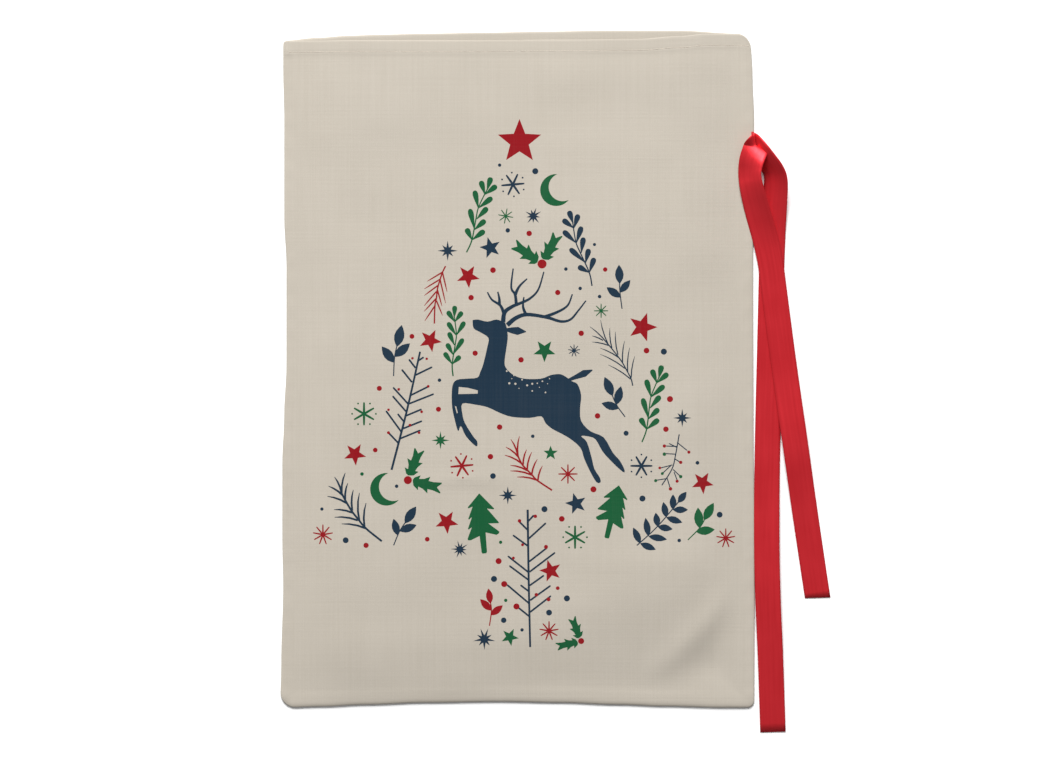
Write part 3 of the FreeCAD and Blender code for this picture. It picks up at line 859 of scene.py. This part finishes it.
def sheet_place(across, up, mouth):
    """From the even rectangle to the cloth's own wandering outline with round corners."""
    across, up = rounded_corner(across, up)
    side = eased(RIGHT_EDGE if across > 0 else LEFT_EDGE, up)
    low, high = eased(FOOT_EDGE, across), eased(mouth, across)
    return abs(across) / HALF_WIDTH * side, low + (high - low) * (up + HALF_HEIGHT) / (2 * HALF_HEIGHT)


def edge_distances(x, y, mouth):
    """How far a point is from the nearer side, the foot, the mouth, and the sewn edge with its corners."""
    side = max(min(x - eased(LEFT_EDGE, y), eased(RIGHT_EDGE, y) - x), 0.0)
    foot = max(y - eased(FOOT_EDGE, x), 0.0)
    radius = CORNERS[(-1 if x < 0 else 1, -1)]
    if side < radius and foot < radius:
        rim = max(radius - math.hypot(radius - side, radius - foot), 0.0)
    else:
        rim = min(side, foot)
    return side, foot, max(eased(mouth, x) - y, 0.0), rim


CREASE = ((236, -205), (215, -220), (187, -246), (170, -264), (131, -305))
CREASE_RIDGE, CREASE_RIDGE_WIDTH = 1.5, 14.0
CREASE_DROP, CREASE_DROP_WIDTH = 1.9, 42.0


def creased(x, y):
    """A soft diagonal fold near the foot's right corner: a ridge, and lower cloth below it."""
    nearest, beyond, along, travelled = math.inf, 0.0, 0.0, 0.0
    for (ax, ay), (bx, by) in zip(CREASE, CREASE[1:]):
        run, rise = bx - ax, by - ay
        size = math.hypot(run, rise)
        share = min(max(((x - ax) * run + (y - ay) * rise) / size ** 2, 0.0), 1.0)
        gap_x, gap_y = x - ax - run * share, y - ay - rise * share
        gap = math.hypot(gap_x, gap_y)
        if gap < nearest:
            nearest = gap
            beyond = gap if (run * gap_y - rise * gap_x) > 0 else -gap
            along = travelled + share * size
        travelled += size
    ridge = CREASE_RIDGE * bell(beyond, CREASE_RIDGE_WIDTH)
    drop = CREASE_DROP * smooth_step((beyond + 4) / CREASE_DROP_WIDTH)
    return fading(along, 85, 100) * (ridge - drop)


# Unevenness: the width and the height of its lumps, a seed, and how high they rise. Pulled places: the
# middle, the width, the height and the rise.
RIPPLES = ((150, 120, 3.7, 1.1), (62, 48, 9.1, 0.42), (24, 20, 5.3, 0.10))
TENSION_WAVES = (
    (-62, -109, 42, 6, 0.5), (-40, -118, 30, 5, -0.3), (120, -190, 60, 14, 0.5), (-120, -250, 70, 20, -0.5),
    (60, 290, 90, 22, 0.4), (-150, 260, 60, 30, 0.35),
)


def ripples(x, y):
    """Gentle unevenness of cloth that has been folded and smoothed out again."""
    total = sum(rise * rough(x, y, wide, tall, seed) for wide, tall, seed, rise in RIPPLES)
    for cx, cy, width, height, rise in TENSION_WAVES:
        total += rise * bell(x - cx, width) * bell(y - cy, height)
    return total


# The front's height over the table: at its edge, then how each feature adds to it and over what distance.
FRONT_EDGE_TOP = 1.05
EDGE_ROLL, EDGE_ROLL_RUN = 1.15, 4.0
LOFT, RIGHT_LOFT, LOFT_RUN = 4.6, 2.6, 75.0
RIGHT_LOFT_START, RIGHT_LOFT_RUN = -20.0, 180.0
FOOT_SLOPE_START, FOOT_SLOPE_RUN, FOOT_SLOPE_SPREAD = 25.0, 105.0, 60.0
ALLOWANCE_SHOWS, ALLOWANCE_RUN, ALLOWANCE_START = 0.16, 3.5, 6.0
HEM_SHOWS, HEM_RUN = 0.6, 4.2
MOUTH_TURN, MOUTH_TURN_RUN = 0.16, 1.4
GROOVE, GROOVE_WIDTH = 0.12, 1.1
PUCKER, SEAM_PUCKER, PUCKER_REACH = 0.10, 0.13, 5.0
RIPPLE_RUN = 26.0
CREASE_START, CREASE_RUN = 14.0, 34.0


def groove(mouth):
    """The hem stitching pulls a shallow line into the cloth."""
    return -GROOVE * bell(mouth - STITCH_DEPTH, GROOVE_WIDTH)


def front_outside(x, y):
    """Height of the front cloth's printed face."""
    side, foot, mouth, rim = edge_distances(x, y, FRONT_MOUTH)
    roll = EDGE_ROLL * math.sqrt(1 - (1 - min(rim / EDGE_ROLL_RUN, 1.0)) ** 2)
    fuller = smooth_step((x - RIGHT_LOFT_START) / RIGHT_LOFT_RUN)
    foot_run = FOOT_SLOPE_RUN + FOOT_SLOPE_SPREAD * fuller
    ease = smooth_step(FOOT_SLOPE_START / foot_run)
    foot_slope = (smooth_step((foot + FOOT_SLOPE_START) / foot_run) - ease) / (1 - ease)
    belly = (LOFT + RIGHT_LOFT * fuller) * smooth_step(side / LOFT_RUN) * foot_slope
    seam_step = fading(rim, SEAM_ALLOWANCE, ALLOWANCE_RUN) * smooth_step(rim / ALLOWANCE_START)
    hem = HEM_SHOWS * CLOTH_THICK * fading(mouth, HEM_DEPTH - 1.0, HEM_RUN)
    hem -= MOUTH_TURN * fading(mouth, 0, MOUTH_TURN_RUN)
    pucker = PUCKER * math.sin(x / 2.3) * bell(mouth - STITCH_DEPTH, PUCKER_REACH)
    pucker += SEAM_PUCKER * math.sin(y / 3.1 + 2 * math.sin(y / 23)) * bell(side - 5, PUCKER_REACH)
    return (FRONT_EDGE_TOP + roll + belly + ALLOWANCE_SHOWS * seam_step + hem + groove(mouth) + pucker
            + smooth_step(rim / RIPPLE_RUN) * ripples(x, y)
            + smooth_step((rim - CREASE_START) / CREASE_RUN) * creased(x, y))


def front_thickness(x, y):
    _, _, mouth, rim = edge_distances(x, y, FRONT_MOUTH)
    hem = CLOTH_THICK * fading(mouth, HEM_DEPTH - 0.5, 1.4)
    return (CLOTH_THICK + hem - 0.5 * fading(mouth, 0, 1.2)) * (1 - 0.5 * fading(rim, 0, 2))


# ------------------------------------------------------------------ front cloth

EDGE_STEPS = (0.0, 0.5, 1.3, 2.5, 4.0, 6.0, 8.5, 11.0, 13.0, 15.5, 19.0)
MOUTH_STEPS = (0.0, 0.35, 0.8, 1.6, 3.0, 5.0, 7.0, 9.0, 10.2, 11.0, 11.8, 12.6, 13.6, 15.5, 19.0)
GRID_STEP = 6.0
PRINT_CLEARANCE = 1.2
TOUCHING = 1e-6


def even_steps(low, high):
    count = round((high - low) / GRID_STEP)
    return [low + (high - low) * index / count for index in range(1, count)]


def grid_places():
    """The even rectangle's columns and rows, closer together near its edges."""
    right = [HALF_WIDTH - step for step in EDGE_STEPS]
    right = [0.0] + even_steps(0, right[-1]) + right[::-1]
    foot = [-HALF_HEIGHT + step for step in EDGE_STEPS]
    mouth = [HALF_HEIGHT - step for step in reversed(MOUTH_STEPS)]
    return [-place for place in right[:0:-1]] + right, foot + even_steps(foot[-1], mouth[0]) + mouth


ACROSS, UP = grid_places()


def polygon_area(outline):
    return sum(a[0] * b[1] - b[0] * a[1] for a, b in zip(outline, outline[1:] + outline[:1])) / 2


def front_mesh_plan():
    """The front's flat layout: points, triangles that face up, and each triangle's colour."""
    shapes = winter_print()
    corners = [(across, -HALF_HEIGHT) for across in ACROSS] + [(HALF_WIDTH, up) for up in UP[1:]]
    corners += [(across, HALF_HEIGHT) for across in ACROSS[-2::-1]]
    corners += [(-HALF_WIDTH, up) for up in UP[-2:0:-1]]
    points = [Vector(sheet_place(*corner, FRONT_MOUTH)) for corner in corners]
    faces = [list(range(len(points)))]
    middle_line = tuple(index for index, place in enumerate(points) if abs(place.x) < TOUCHING)
    printed = kdtree.KDTree(sum(len(outline) for _, outline in shapes))
    colours = ["bare"]
    for colour, outline in shapes:
        if polygon_area(outline) < 0:
            outline = outline[::-1]
        faces.append(list(range(len(points), len(points) + len(outline))))
        for x, y in outline:
            printed.insert((x, y, 0), len(points))
            points.append(Vector((x, y)))
        colours.append(colour)
    printed.balance()
    for across in ACROSS[1:-1]:
        for up in UP[1:-1]:
            x, y = sheet_place(across, up, FRONT_MOUTH)
            if across == 0 or printed.find((x, y, 0))[2] > PRINT_CLEARANCE:
                points.append(Vector((x, y)))
    result = delaunay_2d_cdt(points, [middle_line], faces, 0, 1e-5, True)
    flat_points, triangles, sources = result[0], result[2], result[5]
    kept = []
    for face, source in zip(triangles, sources):
        if source:
            outline = [tuple(flat_points[spot]) for spot in face]
            kept.append((face if polygon_area(outline) > 0 else face[::-1], colours[max(source)]))
    return flat_points, kept


def front_halves():
    """The printed front as two sheets that meet at the middle."""
    flat_points, kept = front_mesh_plan()
    outside = [Vector((x, y, front_outside(x, y))) for x, y in flat_points]
    inside = [Vector((x, y, top.z - front_thickness(x, y))) for (x, y), top in zip(flat_points, outside)]
    top_normals = [Vector((0, 0, 0)) for _ in flat_points]
    for face, _ in kept:
        a, b, c = (outside[spot] for spot in face)
        for spot in face:
            top_normals[spot] += (b - a).cross(c - a)
    halves = []
    for name, side in (("front_cloth_left", -1), ("front_cloth_right", 1)):
        chosen = [row for row in kept if side * sum(flat_points[spot].x for spot in row[0]) > 0]
        used = sorted({spot for face, _ in chosen for spot in face})
        number = {spot: place for place, spot in enumerate(used)}
        count = len(used)
        faces, paints, border = [], [], {}
        for face, colour in chosen:
            a, b, c = (number[spot] for spot in face)
            faces += [(a, b, c), (c + count, b + count, a + count)]
            paints += [COLOUR_INDEX[colour], COLOUR_INDEX["bare"]]
            for pair in ((a, b), (b, c), (c, a)):
                if pair[::-1] in border:
                    del border[pair[::-1]]
                else:
                    border[pair] = True
        for a, b in border:
            faces.append((b, a, a + count, b + count))
            paints.append(COLOUR_INDEX["bare"])
        points = [outside[spot] for spot in used] + [inside[spot] for spot in used]
        half = mesh_piece(name, points, faces, PRINTED, paints)
        normals = [vertex.normal.copy() for vertex in half.data.vertices]
        on_border = {spot for pair in border for spot in pair}
        for place, spot in enumerate(used):
            if place not in on_border or abs(flat_points[spot].x) < TOUCHING:
                normals[place] = top_normals[spot].normalized()
                normals[place + count] = -normals[place]
        half.data.normals_split_custom_set_from_vertices(normals)
        halves.append(half)
    return halves


front_left, front_right = front_halves()


# ------------------------------------------------------------------ back cloth

BACK_LIFT, BACK_LIFT_RUN = 0.25, 20.0
SEAM_RISE, SEAM_RISE_BELOW = 0.50, 0.62


def back_lift(x, y, rim):
    """The back doesn't lie quite flat on the table."""
    return FLOOR_GAP + BACK_LIFT * (1 + rough(x, y, 70, 55, 1.9)) * smooth_step(rim / BACK_LIFT_RUN)


def back_top(x, y):
    """Height of the back cloth's inner face, which rises to the seams."""
    _, _, mouth, rim = edge_distances(x, y, BACK_MOUTH)
    hem = CLOTH_THICK * fading(mouth, HEM_DEPTH - 0.5, 1.4) - 0.45 * fading(mouth, 0, 1.2)
    return CLOTH_THICK + back_lift(x, y, rim) + SEAM_RISE * fading(rim, 0, 3.5) + hem + groove(mouth)


def back_bottom(x, y):
    _, _, mouth, rim = edge_distances(x, y, BACK_MOUTH)
    return back_lift(x, y, rim) + SEAM_RISE_BELOW * fading(rim, 0, 2.5) + 0.25 * fading(mouth, 0, 1.5)


def back_sheet():
    """A closed sheet on the even grid, with a top and a bottom face."""
    rows, columns = len(UP), len(ACROSS)
    below = rows * columns
    flat = [sheet_place(across, up, BACK_MOUTH) for up in UP for across in ACROSS]
    points = [(x, y, back_top(x, y)) for x, y in flat] + [(x, y, back_bottom(x, y)) for x, y in flat]
    faces = []
    for row in range(rows - 1):
        for column in range(columns - 1):
            a = row * columns + column
            b, c, d = a + 1, a + columns + 1, a + columns
            faces += [(a, b, c, d), (d + below, c + below, b + below, a + below)]
    ring = list(range(columns)) + [row * columns + columns - 1 for row in range(1, rows)]
    ring += [(rows - 1) * columns + column for column in range(columns - 2, -1, -1)]
    ring += [row * columns for row in range(rows - 2, 0, -1)]
    bridge(faces, ring[::-1], 0, below)
    return mesh_piece("back_cloth", points, faces, [cotton])


back_cloth = back_sheet()


# ------------------------------------------------------------------ seams and stitches

STITCH_PITCH = 3.0
STITCH_LENGTH = 2.6
STITCH_GRID = [step * STITCH_PITCH for step in range(-75, 76)]
# A stitch's shape: how far along it, and how high above the cloth.
STITCH_ARCH = ((0, -0.22), (0.12, 0.0), (0.5, 0.12), (0.88, 0.0), (1, -0.22))


def stitch(points, faces, start, end, height):
    """One stitch: a thread that sinks into the cloth at both ends."""
    line = []
    for share, rise in STITCH_ARCH:
        x, y = part_way(start, end, share)
        line.append(Vector((x, y, height(x, y) + rise)))
    tube(points, faces, line)


def hem_stitches(name, mouth, height, low, high):
    points, faces = [], []
    for place in STITCH_GRID:
        start, end = ((x, eased(mouth, x) - STITCH_DEPTH)
                      for x in (place - STITCH_LENGTH / 2, place + STITCH_LENGTH / 2))
        if start[0] >= low and end[0] <= high:
            stitch(points, faces, start, end, height)
    return mesh_piece(name, points, faces, [sewing_thread])


LAST_STITCH = 227.0
front_stitches_left = hem_stitches("front_hem_stitches_left", FRONT_MOUTH, front_outside, -LAST_STITCH, 0)
front_stitches_right = hem_stitches("front_hem_stitches_right", FRONT_MOUTH, front_outside, 0, LAST_STITCH)
back_stitches = hem_stitches("back_hem_stitches", BACK_MOUTH, back_top, -LAST_STITCH, LAST_STITCH)

ALLOWANCE_LAYERS = ((0.62, 1.02), (1.06, 1.44))
ALLOWANCE_TOP = ALLOWANCE_LAYERS[1][1]
ALLOWANCE_STEPS = (0.9, 2.0, 4.0, 7.0, 10.0, SEAM_ALLOWANCE)
SEAM_DEPTH = 1.5
OVERLOCK_PITCH = 1.5
# The overlock's two turning lines: how far inside the raw edge, and how high over the allowances.
OVERLOCK_LINES = ((0.3, 0.30), (4.0, 0.42))
# Each sewn edge, with where its allowance starts and ends along it, every 6 mm.
SEAMS = (("left", range(-316, 319, 6)), ("right", range(-316, 319, 6)), ("bottom", range(-216, 217, 6)))


def seam_place(side, along, depth):
    """A point a given depth inside one of the three sewn edges."""
    if side == "left":
        return eased(LEFT_EDGE, along) + depth, along
    if side == "right":
        return eased(RIGHT_EDGE, along) - depth, along
    return along, eased(FOOT_EDGE, along) + depth


def allowance(side, run):
    """The two turned-in edges that lie inside along a seam."""
    points, faces = [], []
    across = len(ALLOWANCE_STEPS)
    ring = [2 * spot for spot in range(across)] + [2 * spot + 1 for spot in range(across - 1, -1, -1)]
    for layer, (low, high) in enumerate(ALLOWANCE_LAYERS):
        first = len(points)
        for along in run:
            for depth in ALLOWANCE_STEPS:
                wander = 0.5 * noise.noise(Vector((along / 17, layer * 5.0, 2.2))) if depth > 8 else 0
                x, y = seam_place(side, along, depth + wander)
                curl = 0.10 * smooth_step((depth - 6) / 6) * (1 + math.sin(along / 9 + layer))
                points += [Vector((x, y, low + curl)), Vector((x, y, high + curl))]
        last = first + (len(run) - 1) * 2 * across
        for start in range(first, last, 2 * across):
            bridge(faces, ring, start, start + 2 * across)
        faces.append(tuple(first + spot for spot in reversed(ring)))
        faces.append(tuple(last + spot for spot in ring))
    return mesh_piece(side + "_seam_allowance", points, faces, [cotton])


def seam_stitches(side, run):
    """The straight row that joins front and back, just inside the edge."""
    points, faces = [], []
    for index in range(int((run[-1] - run[0]) / STITCH_PITCH)):
        along = run[0] + (index + 0.2) * STITCH_PITCH
        start, end = (seam_place(side, along + shift, SEAM_DEPTH) for shift in (0, STITCH_LENGTH))
        stitch(points, faces, start, end, lambda x, y: ALLOWANCE_TOP + 0.05)
    return mesh_piece(side + "_seam_stitches", points, faces, [sewing_thread])


def overlock(side, run):
    """Thread looped over the raw edges, as a zigzag between its two turning lines."""
    points, faces, line = [], [], []
    for index in range(int((run[-1] - run[0]) / OVERLOCK_PITCH)):
        inset, rise = OVERLOCK_LINES[index % 2]
        place = seam_place(side, run[0] + index * OVERLOCK_PITCH, SEAM_ALLOWANCE - inset)
        line.append(Vector((*place, ALLOWANCE_TOP + rise)))
    tube(points, faces, line, 4)
    return mesh_piece(side + "_overlock_thread", points, faces, [sewing_thread])


allowances = [allowance(*seam) for seam in SEAMS]
seam_rows = [seam_stitches(*seam) for seam in SEAMS]
overlocks = [overlock(*seam) for seam in SEAMS]

# The fold's path into the seam and back out: x and z.
FOLD_ROUTE = ((230.8, 1), (226.5, 1), (224, 1.05), (223.2, 1.25), (224, 1.45), (226.5, 1.5), (230.8, 1.5))
FOLD_THICK = 0.2


def sewn_fold():
    """The piece of the ribbon that is caught in the side seam, folded over."""
    columns = ACROSS_STEPS + 1
    points = [(x, SEAM_EXIT[1] + (column / ACROSS_STEPS - 0.5) * RIBBON_WIDTH, z)
              for x, z in FOLD_ROUTE for column in range(columns)]
    faces = []
    for row in range(len(FOLD_ROUTE) - 1):
        for a in range(row * columns, row * columns + ACROSS_STEPS):
            faces.append((a, a + 1, a + columns + 1, a + columns))
    piece = mesh_piece("ribbon_sewn_fold", points, faces, [satin])
    follow_ribbon(piece, lambda vertex: (points[vertex][1] * MM, points[vertex][0] * MM))
    thicken = piece.modifiers.new("thick", "SOLIDIFY")
    thicken.thickness = FOLD_THICK * MM
    thicken.offset = 0
    bpy.context.view_layer.update()
    solid = bpy.data.meshes.new_from_object(piece.evaluated_get(bpy.context.evaluated_depsgraph_get()))
    piece.modifiers.clear()
    piece.data = solid
    return piece


ribbon_fold = sewn_fold()


# ------------------------------------------------------------------ hidden model parts, and pieces held by the back

for half in (front_left, front_right):
    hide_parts("front_panel")
for side, pieces in ((-1, (front_left, front_stitches_left)), (1, (front_right, front_stitches_right))):
    for piece in pieces:
        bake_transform(piece)
for piece in (front_stitches_left, front_stitches_right):
    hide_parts("front_hem_stitching")

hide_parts("back_panel")
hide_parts("back_hem_stitching")
for (side, _), row, loops in zip(SEAMS, seam_rows, overlocks):
    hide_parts(side + "_seam_thread")
    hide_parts(side + "_overlock")
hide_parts("ribbon_sewn_end")
for piece in (back_cloth, back_stitches, *allowances, *seam_rows, *overlocks, ribbon_fold):
    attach(piece, "back")

declare_half(long_half, "ribbon_long_tail")
declare_half(short_half, "ribbon_short_tail")
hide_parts("ribbon_fold")


# ------------------------------------------------------------------ floor and light

FLOOR_HALF = 6000.0
FLOOR_LEVEL = -0.3
KEY_PLACE = (-750, 6500, 4450)
KEY_SIZE = 4200
KEY_POWER = 1330
WORLD_STRENGTH = 0.30


def floor_material():
    look = Look("floor")
    tone = look.noise(look.add("TexCoord", "Object", {}), 2.0)
    colour = look.mixed(tone, (0.90, 0.90, 0.90, 1), (0.92, 0.92, 0.92, 1))
    return look.shade({"Base Color": colour, "Roughness": 0.9})


floor_corners = [(-FLOOR_HALF, -FLOOR_HALF, FLOOR_LEVEL), (FLOOR_HALF, -FLOOR_HALF, FLOOR_LEVEL),
                 (FLOOR_HALF, FLOOR_HALF, FLOOR_LEVEL), (-FLOOR_HALF, FLOOR_HALF, FLOOR_LEVEL)]
floor = mesh_piece("floor", floor_corners, [(0, 1, 2, 3)], [floor_material()], smooth=False)

key = in_scene("key", bpy.data.lights.new("key", "AREA"))
key.data.shape = "SQUARE"
key.data.size = KEY_SIZE * MM
key.data.energy = KEY_POWER
key.location = metres(KEY_PLACE)
key.rotation_euler = (-Vector(KEY_PLACE)).to_track_quat("-Z", "Y").to_euler()

world = bpy.data.worlds.new("studio")
world.use_nodes = True
background = world.node_tree.nodes["Background"]
background.inputs["Color"].default_value = (1, 1, 1, 1)
background.inputs["Strength"].default_value = WORLD_STRENGTH
bpy.context.scene.world = world
bpy.context.scene.view_settings.view_transform = "Standard"
